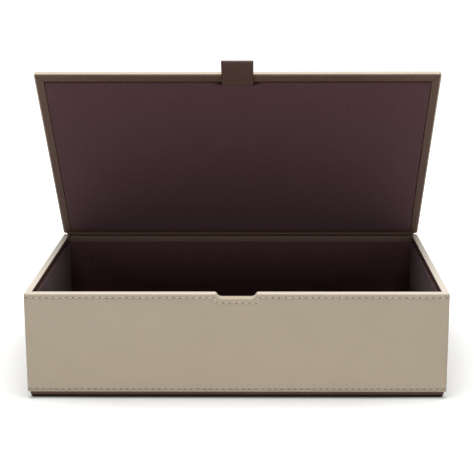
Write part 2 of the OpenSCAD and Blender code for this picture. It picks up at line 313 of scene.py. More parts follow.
# %% [markdown]
# ## Shared effects as node groups
#
# Three effects turn up in several finishes: the printed grain of the leather, the weave of the
# cloth and the shallow groove that a row of stitches pulls into leather. Each is built once as a
# node group, with named inputs, and every material gives it its own values. All patterns read the
# object's own coordinates, so they sit still on the piece and need no unwrapping. The groups work
# in millimetres, which makes their numbers easy to check against a real hide or cloth. A Bench
# keeps the wiring short: `sum` is one step of arithmetic, `span` maps one range of values on to
# another, and `blend` mixes two colours.

# %% Small helpers for wiring nodes
def tint(code):
    """The linear colour of a hex code such as #b5a892."""
    parts = (int(code[k : k + 2], 16) / 255 for k in (1, 3, 5))
    return (*(c / 12.92 if c <= 0.04045 else ((c + 0.055) / 1.055) ** 2.4 for c in parts), 1)


class Bench:
    """A node tree with short calls for the nodes that the finishes use."""

    def __init__(self, tree):
        self.tree = tree

    def node(self, kind, **settings):
        made = self.tree.nodes.new(kind)
        for key, value in settings.items():
            setattr(made, key, value)
        return made

    def plug(self, value, socket):
        if isinstance(value, bpy.types.NodeSocket):
            self.tree.links.new(value, socket)
        else:
            socket.default_value = value

    def sum(self, kind, *values):
        made = self.node("ShaderNodeMath", operation=kind)
        for value, socket in zip(values, made.inputs):
            self.plug(value, socket)
        return made.outputs[0]

    def span(self, value, low, high, to_low=0.0, to_high=1.0, soft=False):
        curve = "SMOOTHSTEP" if soft else "LINEAR"
        made = self.node("ShaderNodeMapRange", interpolation_type=curve)
        for value, socket in zip((value, low, high, to_low, to_high), made.inputs):
            self.plug(value, socket)
        return made.outputs[0]

    def blend(self, share, first, second):
        """A colour between two. Sockets 0, 6, 7 and 2 are the ones that a colour mix shows."""
        made = self.node("ShaderNodeMix", data_type="RGBA")
        for value, index in ((share, 0), (first, 6), (second, 7)):
            self.plug(value, made.inputs[index])
        return made.outputs[2]

    def noise(self, where, scale, detail=2.0, rough=0.5):
        made = self.node("ShaderNodeTexNoise")
        wanted = {"Vector": where, "Scale": scale, "Detail": detail, "Roughness": rough}
        for name, value in wanted.items():
            self.plug(value, made.inputs[name])
        return made.outputs["Fac"]

    def axes(self, where):
        made = self.node("ShaderNodeSeparateXYZ")
        self.plug(where, made.inputs[0])
        return made.outputs

    def seen_by_camera(self):
        """1 for rays from the camera, also by way of a reflection or through glass."""
        rays = self.node("ShaderNodeLightPath").outputs
        seen = self.sum("MAXIMUM", rays["Is Camera Ray"], rays["Is Glossy Ray"])
        return self.sum("MAXIMUM", seen, rays["Is Transmission Ray"])

    def group(self, effect, **values):
        made = self.node("ShaderNodeGroup", node_tree=effect)
        for name, value in values.items():
            self.plug(value, made.inputs[name])
        return made.outputs


def new_effect(name, inputs, outputs):
    effect = bpy.data.node_groups.new(name, "ShaderNodeTree")
    for word, kind, start in inputs:
        socket = effect.interface.new_socket(word, in_out="INPUT", socket_type=kind)
        if start is not None:
            socket.default_value = start
    for word in outputs:
        effect.interface.new_socket(word, in_out="OUTPUT", socket_type="NodeSocketFloat")
    bench = Bench(effect)
    return effect, bench, bench.node("NodeGroupInput").outputs, bench.node("NodeGroupOutput").inputs


print("nodes are wired with", Bench.__name__)

# %% [markdown]
# ### Printed leather grain
#
# The hide is split, coloured and pressed with a fine diagonal print. So the grain is two crossing
# sets of slanted ridges about a millimetre apart, broken up by noise, over shallow pebbles. A
# slow noise is the uneven colour of the dye. The print could be modelled, but at this scale a
# bump looks the same and costs nothing.

# %% Build the leather grain
number, vector = "NodeSocketFloat", "NodeSocketVector"
leather_grain, bench, given, out = new_effect(
    "leather grain",
    [("Place", vector, None), ("Ridge mm", number, 1.1), ("Print", number, 0.6)],
    ["Height", "Mottle", "Speck"],
)
axis = bench.axes(given["Place"])
wander_mm, weaker, pebbles_per_mm, blotches_per_mm = 3.0, 0.45, 1.3, 0.022
wander = bench.sum("MULTIPLY", bench.noise(given["Place"], 0.35, 2), wander_mm)
along = bench.sum("ADD", bench.sum("ADD", axis["X"], axis["Y"]), wander)
turns = bench.sum("DIVIDE", 2 * math.pi, given["Ridge mm"])
rising = bench.sum("SINE", bench.sum("MULTIPLY", bench.sum("ADD", along, axis["Z"]), turns))
falling = bench.sum("SINE", bench.sum("MULTIPLY", bench.sum("SUBTRACT", along, axis["Z"]), turns))
crossed = bench.sum("ADD", rising, bench.sum("MULTIPLY", falling, weaker))
ridges = bench.sum("MULTIPLY", crossed, given["Print"])
gaps = bench.span(bench.noise(given["Place"], 0.9, 3), 0.35, 0.7)
broken = bench.sum("MULTIPLY", ridges, gaps)
pebble = bench.node("ShaderNodeTexVoronoi", feature="SMOOTH_F1")
bench.plug(given["Place"], pebble.inputs["Vector"])
pebble.inputs["Scale"].default_value = pebbles_per_mm
bench.plug(bench.sum("SUBTRACT", broken, pebble.outputs["Distance"]), out["Height"])
bench.plug(bench.noise(given["Place"], blotches_per_mm, 3, 0.6), out["Mottle"])
bench.plug(bench.noise(given["Place"], 1.6, 2, 0.7), out["Speck"])
print("leather grain:", len(leather_grain.nodes), "nodes")

# %% [markdown]
# ### Woven cloth
#
# The lining is a plain cloth of fine yarn. Two sine waves that cross, one along each set of
# threads, rise where one thread passes over the other. A little noise makes the yarn uneven, as
# slubs do, and speckles the colour.

# %% Build the weave
woven_cloth, bench, given, out = new_effect(
    "woven cloth",
    [("Place", vector, None), ("Yarn mm", number, 0.7)],
    ["Height", "Speck", "Wear"],
)
axis = bench.axes(given["Place"])
drift_mm = 1.2
turns = bench.sum("DIVIDE", 2 * math.pi, given["Yarn mm"])
drift = bench.sum("MULTIPLY", bench.noise(given["Place"], 0.2, 2), drift_mm)
across = bench.sum("SINE", bench.sum("MULTIPLY", bench.sum("ADD", axis["X"], drift), turns))
lengthwise = bench.sum("ADD", bench.sum("ADD", axis["Y"], axis["Z"]), drift)
upward = bench.sum("SINE", bench.sum("MULTIPLY", lengthwise, turns))
crossing = bench.sum("MULTIPLY", across, upward)
slub = bench.noise(given["Place"], 1.1, 3, 0.7)
bench.plug(bench.sum("ADD", bench.sum("MULTIPLY", crossing, 0.5), slub), out["Height"])
bench.plug(bench.span(slub, 0.3, 0.7), out["Speck"])
bench.plug(bench.noise(given["Place"], 0.03, 2), out["Wear"])
print("woven cloth:", len(woven_cloth.nodes), "nodes")

# %% [markdown]
# ### The groove of a stitched row
#
# A machine needle pulls the thread down, so the leather dips along the row and swells a little
# beside it. The group compares a height on the wall with the height of the row, and puts out how
# deep the leather lies there.

# %% Build the stitch groove
stitch_groove, bench, given, out = new_effect(
    "stitch groove",
    [("Level", number, 0.0), ("Row", number, 0.0), ("Half width", number, 0.5)],
    ["Depth", "Swell"],
)
off = bench.sum("ABSOLUTE", bench.sum("SUBTRACT", given["Level"], given["Row"]))
flat, reach, swollen = (bench.sum("MULTIPLY", given["Half width"], share) for share in (0.4, 1.5, 5))
bench.plug(bench.span(off, flat, reach, 1, 0, soft=True), out["Depth"])
bench.plug(bench.span(off, reach, swollen, 1, 0, soft=True), out["Swell"])
print("stitch groove:", len(stitch_groove.nodes), "nodes")

# %% [markdown]
# ## The finishes
#
# Each finish is one Principled shader with its own numbers, fed by the groups. Leather is fairly
# rough with a soft gloss, cloth is rough with a little sheen, thread is rough and pale. Pieces on
# the lid use a copy of the finish whose Mapping node turns the pattern with the lid, so that the
# weave runs along the lid and not along the room. Colours are given as hex codes, and `blend` is
# told the share of the second colour first.

# %% Start a finish
def start_finish(name, on_lid=False):
    finish = bpy.data.materials.new(name)
    finish.use_nodes = True
    bench = Bench(finish.node_tree)
    skin = finish.node_tree.nodes["Principled BSDF"]
    place_mm = bench.node("ShaderNodeMapping")
    place_mm.inputs["Scale"].default_value = (1000, 1000, 1000)
    if on_lid:
        place_mm.inputs["Rotation"].default_value = (math.radians(lid_open), 0, 0)
    bench.plug(bench.node("ShaderNodeTexCoord").outputs["Object"], place_mm.inputs["Vector"])
    return finish, bench, skin, place_mm.outputs["Vector"]


def emboss(bench, skin, height, depth_mm):
    bump = bench.node("ShaderNodeBump")
    bump.inputs["Distance"].default_value = depth_mm * mm
    bench.plug(height, bump.inputs["Height"])
    bench.plug(bump.outputs["Normal"], skin.inputs["Normal"])


# %% [markdown]
# ### Taupe leather
#
# The colour drifts slowly over the hide. Near the top of the rim it is painted paler, a painted
# highlight for the light from above, and each stitched row's groove is darkened with painted
# shade. The stitch rows are given by their heights. The top row of the front steps down under
# the notch, so its height follows from the distance to the middle. The distances of the rows from
# the rim and the foot are in millimetres here, as the node groups want them.

# %% Mix the taupe leather
row_drop, hem_rise, notch_row = 3.3, 2.0, 7.3
step_out, step_in, highlight_fade_mm = 17.1, 14.7, 0.8


def taupe_leather(name, rows, on_lid=False, highlight_above=None):
    finish, bench, skin, place = start_finish(name, on_lid)
    axis = bench.axes(place)
    grain = bench.group(leather_grain, Place=place)
    colour = bench.blend(grain["Mottle"], tint("#b3a591"), tint("#bfb29e"))
    colour = bench.blend(bench.sum("MULTIPLY", grain["Speck"], 0.35), colour, tint("#a59682"))
    height = bench.sum("MULTIPLY", grain["Height"], 0.16)
    for row in rows:
        if row == "rim":
            from_middle = bench.sum("ABSOLUTE", axis["X"])
            top = rim_z / mm
            row = bench.span(from_middle, step_in, step_out, top - notch_row, top - row_drop)
        groove = bench.group(stitch_groove, Level=axis["Z"], Row=row)
        # Painted shade: the colour darkens towards #8d8068 in the row's groove, where the dip holds
        # shadow.
        colour = bench.blend(bench.sum("MULTIPLY", groove["Depth"], 0.35), colour, tint("#8d8068"))
        swelling = bench.sum("MULTIPLY", groove["Swell"], 0.3)
        height = bench.sum("ADD", bench.sum("SUBTRACT", height, groove["Depth"]), swelling)
    # Painted highlight: the top of the rim is blended towards a pale peach, for the light that falls
    # on it from above.
    if highlight_above:
        painted_highlight = bench.span(axis["Z"], highlight_above - highlight_fade_mm, highlight_above, soft=True)
        colour = bench.blend(bench.sum("MULTIPLY", painted_highlight, 0.55), colour, tint("#e1d8cd"))
    bench.plug(colour, skin.inputs["Base Color"])
    bench.plug(bench.span(grain["Speck"], 0.2, 0.8, 0.5, 0.62), skin.inputs["Roughness"])
    skin.inputs["Specular IOR Level"].default_value = 0.4
    emboss(bench, skin, height, 0.35)
    return finish


wall_leather = taupe_leather("taupe leather", ["rim", foot_z / mm + hem_rise], highlight_above=rim_z / mm)
spine_finish = taupe_leather("taupe spine leather", [(rim_z - spine_down + row_in) / mm])
lid_leather = taupe_leather("taupe lid leather", [], on_lid=True)
print("taupe leathers:", wall_leather.name, spine_finish.name, lid_leather.name)

# %% [markdown]
# ### Brown leather
#
# The same print on a dark brown hide. Reddish patches come through where the dye is thin. The
# pull tab is cut from it too, and its cut edges are painted dark, which is shown by its distance
# from the middle.

# %% Mix the brown leather
painted_mm = 0.9


def brown_leather(name, on_lid=False, dark_beyond=None, base="#5b4236"):
    finish, bench, skin, place = start_finish(name, on_lid)
    grain = bench.group(leather_grain, Place=place, **{"Ridge mm": 1.3, "Print": 0.9})
    patches = bench.span(bench.noise(place, 0.12, 3), 0.52, 0.75, 0, 0.5)
    colour = bench.blend(bench.sum("MULTIPLY", grain["Mottle"], 0.5), tint(base), tint("#654a3d"))
    colour = bench.blend(bench.sum("MULTIPLY", patches, 0.6), colour, tint("#6b4338"))
    colour = bench.blend(bench.sum("MULTIPLY", grain["Speck"], 0.5), colour, tint("#463024"))
    if dark_beyond:
        from_middle = bench.sum("ABSOLUTE", bench.axes(place)["X"])
        edge = bench.span(from_middle, dark_beyond - painted_mm, dark_beyond)
        colour = bench.blend(edge, colour, tint("#2c1c15"))
    bench.plug(colour, skin.inputs["Base Color"])
    bench.plug(bench.span(grain["Speck"], 0.2, 0.8, 0.45, 0.6), skin.inputs["Roughness"])
    skin.inputs["Specular IOR Level"].default_value = 0.4
    emboss(bench, skin, bench.sum("MULTIPLY", grain["Height"], 0.2), 0.4)
    return finish


facing_leather = brown_leather("brown facing leather")
edging_leather = brown_leather("brown edging leather", on_lid=True, base="#553e31")
tab_leather = brown_leather("brown tab leather", True, dark_beyond=tab_half / mm, base="#463029")
# Painted shade: the hinge leather is the facing's brown made darker, for the shade in the fold under
# the open lid.
shaded_hinge_finish = brown_leather("brown hinge leather in painted shade", base="#493327")
plinth_leather = brown_leather("brown plinth leather", base="#4a3022")
print("brown leathers:", len([m for m in bpy.data.materials if m.name.startswith("brown")]))

# %% [markdown]
# ### Aubergine cloth, suede, board and thread
#
# The lining cloth is woven, speckled and slightly shiny at a grazing angle, which is what sheen
# does. The suede under the box has a short nap, so it is only rough and mottled. The boards are
# tan card with pale fibres. The lid's board is coloured near black, painted shade for where its
# edge can be seen beside the pull tab. The thread is twisted, so fine slanted lines cross it.

# %% Mix the cloth
def aubergine_cloth(name, on_lid=False):
    finish, bench, skin, place = start_finish(name, on_lid)
    weave = bench.group(woven_cloth, Place=place)
    colour = bench.blend(weave["Speck"], tint("#45292d"), tint("#5f4045"))
    colour = bench.blend(bench.span(weave["Wear"], 0.4, 0.7, 0, 0.35), colour, tint("#50343a"))
    bench.plug(colour, skin.inputs["Base Color"])
    skin.inputs["Roughness"].default_value = 0.85
    skin.inputs["Specular IOR Level"].default_value = 0.25
    skin.inputs["Sheen Weight"].default_value = 0.12
    skin.inputs["Sheen Roughness"].default_value = 0.5
    emboss(bench, skin, weave["Height"], 0.12)
    return finish


panel_cloth = aubergine_cloth("aubergine cloth")
lining_cloth = aubergine_cloth("aubergine lid cloth", on_lid=True)
print("cloths:", panel_cloth.name, lining_cloth.name)

# %% Mix the suede, the board and the threads
twist_mm = 0.55


def fibrous(name, dark, light, scale, roughness, depth_mm):
    finish, bench, skin, place = start_finish(name)
    fibres = bench.noise(place, scale, 5, 0.7)
    colour = bench.blend(bench.span(fibres, 0.3, 0.7), tint(dark), tint(light))
    bench.plug(colour, skin.inputs["Base Color"])
    skin.inputs["Roughness"].default_value = roughness
    skin.inputs["Specular IOR Level"].default_value = 0.2
    emboss(bench, skin, fibres, depth_mm)
    return finish


def twisted_thread(name, shadow, light):
    finish, bench, skin, place = start_finish(name)
    axis = bench.axes(place)
    slant = bench.sum("ADD", bench.sum("ADD", axis["X"], axis["Y"]), axis["Z"])
    ply = bench.sum("SINE", bench.sum("MULTIPLY", slant, 2 * math.pi / twist_mm))
    colour = bench.blend(bench.span(ply, -1, 0.4), tint(shadow), tint(light))
    bench.plug(colour, skin.inputs["Base Color"])
    skin.inputs["Roughness"].default_value = 0.7
    emboss(bench, skin, ply, 0.08)
    return finish


base_suede = fibrous("base suede", "#1d1511", "#33261f", 2.2, 0.95, 0.3)
wall_board = fibrous("wall board", "#a3865f", "#bfa27c", 0.8, 0.9, 0.1)
# Painted shade: the lid's board is near black for the shade where its edge shows beside the pull tab.
shaded_lid_board = fibrous("lid board in painted shade", "#1d1310", "#2b1d18", 0.8, 0.9, 0.1)
cream_thread = twisted_thread("cream thread", "#d6cab4", "#f3ebda")
# Painted shade: the hem thread is the cream thread made darker, for the shade on the lower row.
shaded_hem_thread = twisted_thread("hem thread in painted shade", "#b5a893", "#cfc3ae")
# Painted shade: the needle holes are thin discs coloured dark for the shade inside each hole.
rim_hole_shade = fibrous("needle hole", "#4d4632", "#5d543c", 3, 0.95, 0.1)
hem_hole_shade = fibrous("hem needle hole", "#4f3c2b", "#5e4a36", 3, 0.95, 0.1)
print("finishes:", len([m for m in bpy.data.materials if m.use_nodes]))

# %% [markdown]
# ## The walls' leather covers
#
# On the real box four pieces of leather are glued round the boards, turned over the rim and
# trimmed inside, with their seams at the corners. They could be four bent sheets, but then every
# corner would have to be matched by hand. It is easier to draw the whole skin at once and to cut
# it apart afterwards. A rounded plate is extruded up from the foot and its edge rolled over by
# small insets.

# %% Draw rounded plates and roll their edges
corner_steps = 6


def rounded_plate(name, low, high, z, r):
    let_go()
    bpy.ops.mesh.primitive_plane_add(size=1)
    plate = bpy.context.object
    plate.location = ((low[0] + high[0]) / 2, (low[1] + high[1]) / 2, z)
    plate.scale = (high[0] - low[0], high[1] - low[1], 1)
    named(name)
    open_up(plate)
    bpy.ops.mesh.select_all(action="SELECT")
    bpy.ops.mesh.bevel(offset=r, segments=corner_steps, affect="VERTICES", clamp_overlap=False)
    return plate


def roll_edge(r, steps):
    """Insets the picked face in small steps, so that its edge rises in a quarter circle."""
    for k in range(steps):
        a, b = (math.radians(90 * j / steps) for j in (k, k + 1))
        inward, rise = r * (math.cos(a) - math.cos(b)), r * (math.sin(b) - math.sin(a))
        bpy.ops.mesh.inset(thickness=inward, depth=rise)


def raise_face(height):
    bpy.ops.mesh.extrude_region_move(TRANSFORM_OT_translate={"value": (0, 0, height)})


def draw_edge(way):
    bpy.ops.mesh.extrude_edges_move(TRANSFORM_OT_translate={"value": way})


def drop_foot(z):
    """Deletes the face on which the plate was drawn, so that the skin is open below."""
    pick("FACE", lambda f: near(centre_of(f).z, z))
    bpy.ops.mesh.delete(type="FACE")


walls = rounded_plate("walls", (-half_w, front_y), (half_w, back_y), foot_z, corner_r)
raise_face(rim_z - rim_r - foot_z)
roll_edge(rim_r, 5)
drop_foot(foot_z)
bpy.ops.object.mode_set(mode="OBJECT")
print("rolled skin:", len(walls.data.vertices), "vertices")

# %% [markdown]
# ## The rim and the finger notch
#
# Where the roll ends, each corner is a tiny arc. Its points are merged into one, so that the top
# face has four plain corners and can be inset by the width of the rim. The face inside the rim is
# deleted, and the rim's inner edge is turned down by the thickness of the leather. For the notch,
# the front and its turned edge are cut into narrow upright strips with bisect, and the top of each
# strip is lowered by what the notch's outline says there. The outline is a flat floor that rises
# in one arc and meets the rim in a second, smaller one. The roll of the rim follows of itself.

# %% Lay the rim and turn its inner edge down
corner_reach, top_area = 0.3 * mm, 0.01
open_up(walls)
for x in (-1, 1):
    for y in (-1, 1):
        corner = Vector((x * (half_w - rim_r), y * (back_y - rim_r), rim_z))
        pick("VERT", lambda v: (v.co - corner).length < corner_reach)
        bpy.ops.mesh.merge(type="CENTER")
pick("FACE", lambda f: f.normal.z > 0.9 and f.calc_area() > top_area)
bpy.ops.mesh.inset(thickness=wall_t - rim_r, depth=0)
bpy.ops.mesh.delete(type="ONLY_FACE")
pick("EDGE", lambda e: on_rim(e) and near(middle(e).z, rim_z))
draw_edge((0, 0, -leather_t))
bpy.ops.object.mode_set(mode="OBJECT")
print("rim laid:", len(walls.data.polygons), "faces")

# %% Cut the finger notch
shoulder_r, shoulder_cuts = 2 * mm, (0, 12, 25, 37, 50)
turned_band, hairline = 1.6 * mm, 0.002 * mm
slope = notch_half - notch_flat
floor_r = (slope**2 + notch_depth**2) / (2 * notch_depth) - shoulder_r
meeting = math.atan2(notch_depth - floor_r - shoulder_r, slope)


def notch_drop(x):
    """How far the rim lies below its usual level, at a distance x from the middle."""
    x = abs(x)
    if x >= notch_half:
        return 0
    if x <= notch_flat:
        return notch_depth
    if x <= notch_flat + floor_r * math.cos(meeting):
        return notch_depth - floor_r + math.sqrt(floor_r**2 - (x - notch_flat) ** 2)
    return shoulder_r - math.sqrt(shoulder_r**2 - (notch_half - x) ** 2)


floor_turn = math.radians(90) + meeting
cuts = [notch_flat + floor_r * math.cos(floor_turn * k / 6 - math.radians(90)) for k in range(7)]
cuts += [notch_half - shoulder_r * math.sin(math.radians(a)) for a in shoulder_cuts]
cuts = sorted({round(c, 7) for c in cuts})
both_sides = [side * c for c in cuts for side in (-1, 1)]
open_up(walls)
for x in both_sides:
    pick("FACE", lambda f: centre_of(f).y < front_y + wall_t + 0.1 * mm)
    slice_at((x, 0, 0), (1, 0, 0))
for x in both_sides:
    pick("VERT", lambda v: near(v.co.x, x, hairline) and v.co.z > rim_z - turned_band and v.co.y < 0)
    bpy.ops.transform.translate(value=(0, 0, -notch_drop(x)))
bpy.ops.object.mode_set(mode="OBJECT")
print("notch:", len(cuts), "cuts on each side,", round(notch_drop(0) / mm, 2), "mm deep")

# %% [markdown]
# ## Cut the skin into four covers
#
# The side covers reach round the back corners, so the skin is cut there, and the back rim is left
# open for the hinge. Then each cover is split off by the wall that it is nearest to, and Solidify
# gives it the thickness of leather, inwards, so that its outer face stays where it was drawn.

# %% Cut, split and thicken
def split_off(piece, name, wanted):
    open_up(piece)
    pick("FACE", wanted)
    before = set(bpy.data.objects)
    bpy.ops.mesh.separate(type="SELECTED")
    bpy.ops.object.mode_set(mode="OBJECT")
    cut = (set(bpy.data.objects) - before).pop()
    cut.name = cut.data.name = name
    return cut


open_up(walls)
at_back = back_y - wall_t - 0.5 * mm
for x in (-spine_w, spine_w, -inner_w, inner_w):
    pick("FACE", lambda f: centre_of(f).y > at_back)
    slice_at((x, 0, 0), (1, 0, 0))
pick("FACE", lambda f: centre_of(f).y > at_back)
slice_at((0, 0, rim_z - spine_down), (0, 0, 1))


def under_spine(face):
    c = centre_of(face)
    reach = spine_w if c.y > back_y - rim_r else inner_w
    return c.y > at_back and c.z > rim_z - spine_down and abs(c.x) < reach


def on_side(face):
    c = centre_of(face)
    on_back = c.y > back_y - 0.1 * mm and abs(c.x) < spine_w
    return half_w - abs(c.x) < c.y - front_y and not on_back


pick("FACE", under_spine)
bpy.ops.mesh.delete(type="FACE")
covers = {
    "front_leather": walls,
    "left_leather": split_off(walls, "left_cover", lambda f: on_side(f) and centre_of(f).x < 0),
    "right_leather": split_off(walls, "right_cover", lambda f: on_side(f) and centre_of(f).x > 0),
    "back_leather": split_off(walls, "back_cover", lambda f: centre_of(f).y > 0),
}
walls.name = walls.data.name = "front_cover"
for cad_node, cover in covers.items():
    thicken(cover)
    smooth(cover)
    place(cover, "box", wall_leather, cad_node)
    print(cover.name, len(cover.data.polygons), "faces")

# %% [markdown]
# ## The base
#
# The box stands on a plinth wrapped in brown leather and on a suede pad that keeps it from
# scratching the table. Both are blocks with rounded corners and a rounded foot.

# %% Round the plinth and the pad
def rounded_base(name, cad_node, finish, corner, foot, steps):
    low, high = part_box(cad_node)
    piece = block(name, low, high)
    open_up(piece)
    pick("EDGE", upright)
    round_off(corner, steps)
    pick("EDGE", lambda e: at_level(e, low.z))
    round_off(foot, steps)
    smooth(piece)
    place(piece, "box", finish, cad_node)
    print(name, len(piece.data.polygons), "faces")


rounded_base("plinth_wrap", "plinth", plinth_leather, corner=1.6 * mm, foot=0.3 * mm, steps=3)
rounded_base("suede_pad", "base_pad", base_suede, corner=2 * mm, foot=1.4 * mm, steps=4)

# %% [markdown]
# ## Liner panels, facings and boards
#
# The inside is lined with thin boards wrapped in cloth. Each is a block whose top edges are
# rounded, as cloth turned over card is. The facings and the boards keep their CAD shapes, because
# flat strips and plain boards are right as they are, and only get their finish.

# %% Wrap the liner panels
panel_r = 0.6 * mm
for cad_node in ("floor_liner", "front_liner", "back_liner", "left_liner", "right_liner"):
    low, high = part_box(cad_node)
    panel = block(cad_node.replace("_liner", "_panel"), low, high)
    open_up(panel)
    pick("EDGE", lambda e: at_level(e, high.z))
    round_off(panel_r, 3)
    smooth(panel)
    place(panel, "box", panel_cloth, cad_node)
print("panels wrapped, edges rounded by", panel_r / mm, "mm")

# %% Finish the carried-over CAD pieces
finish_of = {"board": wall_board, "facing": facing_leather}
for cad_node, piece in frame["nodes"].items():
    kind = cad_node.split("_")[-1]
    if kind in finish_of:
        cover_with(finish_of[kind], piece)
# The lid's board gets its near-black painted shade.
cover_with(shaded_lid_board, frame["nodes"]["lid_board"])
print("boards and facings finished")

# %% [markdown]
# ## Stitching
#
# One stitch is a short twisted thread whose ends dive into the leather, and between two stitches
# is a needle hole, drawn as a thin disc whose dark colour is painted shade inside the hole. Each
# is modelled once, with few faces, and copied along the rows by the same rule as in the CAD: every
# straight stretch is divided evenly. The copies of a row are then joined. A slight slant, a little
# different each time, keeps the row from looking printed.

# %% Model one stitch and one needle hole
stitch_len, pitch_len = 3.7 * mm, 4.93 * mm
thread_r, thread_end = 0.36 * mm, 0.25 * mm
bend_in, end_dive, crown = 0.35 * mm, 0.45 * mm, 0.06 * mm
hole_r, hole_floor_r, hole_t = 0.5 * mm, 0.3 * mm, 0.06 * mm
let_go()
bpy.ops.mesh.primitive_cylinder_add(
    vertices=8, radius=thread_r, depth=stitch_len + 2 * thread_end, rotation=(0, math.radians(90), 0)
)
one_stitch = named("one_stitch")
open_up(one_stitch)
bend_at = stitch_len / 2 - bend_in
for x in (-bend_at, bend_at, 0):
    bpy.ops.mesh.select_all(action="SELECT")
    slice_at((x, 0, 0), (1, 0, 0))
pick("VERT", lambda v: abs(v.co.x) > stitch_len / 2)
bpy.ops.transform.translate(value=(0, 0, -end_dive))
pick("VERT", lambda v: near(v.co.x, 0))
bpy.ops.transform.translate(value=(0, 0, crown))
smooth(one_stitch, 60)
let_go()
bpy.ops.mesh.primitive_cone_add(vertices=8, radius1=hole_r, radius2=hole_floor_r, depth=hole_t)
one_hole = named("one_hole")
print("a stitch has", len(one_stitch.data.polygons), "faces, a hole", len(one_hole.data.polygons))

# %% Copy them along the rows
stitch_share, stitch_sunk, hole_proud = 0.8, 0.06 * mm, 0.01 * mm
lean, lean_varies = 2, 2.5


def lay(pattern, finish, at, way, out_way, length=1.0):
    """Lays one copy of a stitch or a hole, with its length along `way`."""
    copy = pattern.copy()
    copy.data = pattern.data.copy()
    cover_with(finish, copy)
    turn = Matrix((way, out_way.cross(way), out_way)).transposed().to_4x4()
    size = Matrix.Diagonal((length, 1, 1, 1))
    copy.matrix_world = Matrix.Translation(at) @ turn @ size
    bpy.context.scene.collection.objects.link(copy)
    return copy


def sew(name, rows, thread, hole):
    """Rows are (origin, direction of u, direction of v, outward normal, points as (u, v)).

    Half steps are counted along each stretch: a hole at the even ones, a stitch at the odd ones.
    """
    parts = []
    for origin, u_way, v_way, out_way, points in rows:
        for a, b in zip(points, points[1:]):
            run = Vector(b) - Vector(a)
            count = max(1, round(run.length / pitch_len))
            length = min(stitch_len, run.length / count * stitch_share) / stitch_len
            flat = run.normalized()
            way = (u_way * flat.x + v_way * flat.y).normalized()
            last_hole = 1 if b == points[-1] else 0
            for k in range(2 * count + last_hole):
                spot = Vector(a) + run * k / (2 * count)
                at = origin + u_way * spot.x + v_way * spot.y
                if k % 2:
                    slant = math.radians(lean_varies * math.sin(7.3 * len(parts)) + lean)
                    leaning = Matrix.Rotation(slant, 3, out_way) @ way
                    at -= out_way * stitch_sunk
                    parts.append(lay(one_stitch, thread, at, leaning, out_way, length))
                else:
                    parts.append(lay(one_hole, hole, at + out_way * hole_proud, way, out_way))
    let_go()
    for part in parts:
        part.select_set(True)
    bpy.context.view_layer.objects.active = parts[0]
    bpy.ops.object.join()
    sewn = named(name)
    print(name, len(parts), "stitches and holes,", len(sewn.data.polygons), "faces")
    return sewn


# %% Sew the walls
def level_row(half, height):
    return [(-half, height), (half, height)]


X, Y, Z = Vector((1, 0, 0)), Vector((0, 1, 0)), Vector((0, 0, 1))
front_wall = (Vector((0, front_y, rim_z)), X, Z, -Y)
back_wall = (Vector((0, back_y, rim_z)), X, Z, Y)
left_wall = (Vector((-half_w, 0, rim_z)), Y, Z, -X)
right_wall = (Vector((half_w, 0, rim_z)), Y, Z, X)

end_gap = 2.4 * mm
end_x, end_y, spine_end = half_w - end_gap, back_y - end_gap, spine_w - end_gap
top_row, low_row, hem = -row_drop * mm, -notch_row * mm, foot_z + hem_rise * mm - rim_z
right_half = [(step_in * mm, low_row), (step_out * mm, top_row), (end_x, top_row)]
rim_points = [(-x, z) for x, z in reversed(right_half)] + right_half
rim_rows = [(*front_wall, rim_points)]
rim_rows += [(*wall, level_row(end_y, top_row)) for wall in (left_wall, right_wall)]
hem_rows = [(*front_wall, level_row(end_x, hem))]
hem_rows += [(*wall, level_row(end_y, hem)) for wall in (left_wall, right_wall)]
hem_rows += [(*back_wall, level_row(spine_end, hem))]
spine_rows = [(*back_wall, level_row(spine_end, row_in - spine_down))]
settle(sew("rim_thread", rim_rows, cream_thread, rim_hole_shade), "box", "rim_stitching")
settle(sew("shaded_hem_thread", hem_rows, shaded_hem_thread, hem_hole_shade), "box", "hem_stitching")
settle(sew("spine_thread", spine_rows, cream_thread, rim_hole_shade), "box", "spine_stitching")

# %% [markdown]
# ## The lid
#
# The lid is drawn closed, where its edges run along the axes, and each finished piece is then
# swung open about the hinge line. Its cover is made like the walls' skin: a rounded plate, raised
# and rolled over at the top, with an opening at the back for the spine.

# %% Draw the lid's cover
lid_half, lid_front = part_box("lid_cover")[1].x, front_y + 2 * mm
lid_corner_r, lid_edge_r, lid_gap, lid_t = 2 * mm, 1.2 * mm, 0.3 * mm, 4.5 * mm
lid_under = rim_z + lid_gap
lid_base, lid_top = lid_under + leather_t, lid_under + lid_t
frame_half, frame_front, frame_back = lid_half - leather_t, lid_front + leather_t, back_y - leather_t
lid_low, lid_high = (-lid_half, lid_front), (lid_half, back_y)
lid_skin = rounded_plate("lid_skin", lid_low, lid_high, lid_base, lid_corner_r)
raise_face(lid_top - lid_edge_r - lid_base)
roll_edge(lid_edge_r, 4)
drop_foot(lid_base)
spine_edge = frame_back - spine_over
for x in (-spine_w, spine_w):
    pick_all()
    slice_at((x, 0, 0), (1, 0, 0))
pick("FACE", lambda f: abs(centre_of(f).x) < spine_w)
slice_at((0, spine_edge, 0), (0, 1, 0))
pick("FACE", lambda f: abs(centre_of(f).x) < spine_w and centre_of(f).y > spine_edge)
bpy.ops.mesh.delete(type="FACE")
pick_all()
bpy.ops.mesh.normals_make_consistent(inside=False)
thicken(lid_skin)
smooth(lid_skin)
swing(lid_skin)
place(lid_skin, "lid", lid_leather, "lid_cover")
print("lid cover:", len(lid_skin.data.polygons), "faces")

# %% [markdown]
# ### The mitred edging
#
# Three strips of brown leather cover the edge of the lid's board round the lining and meet in
# mitres at the front corners. Each is a block with its inner corners drawn back by the strip's
# width, and with rolled edges.

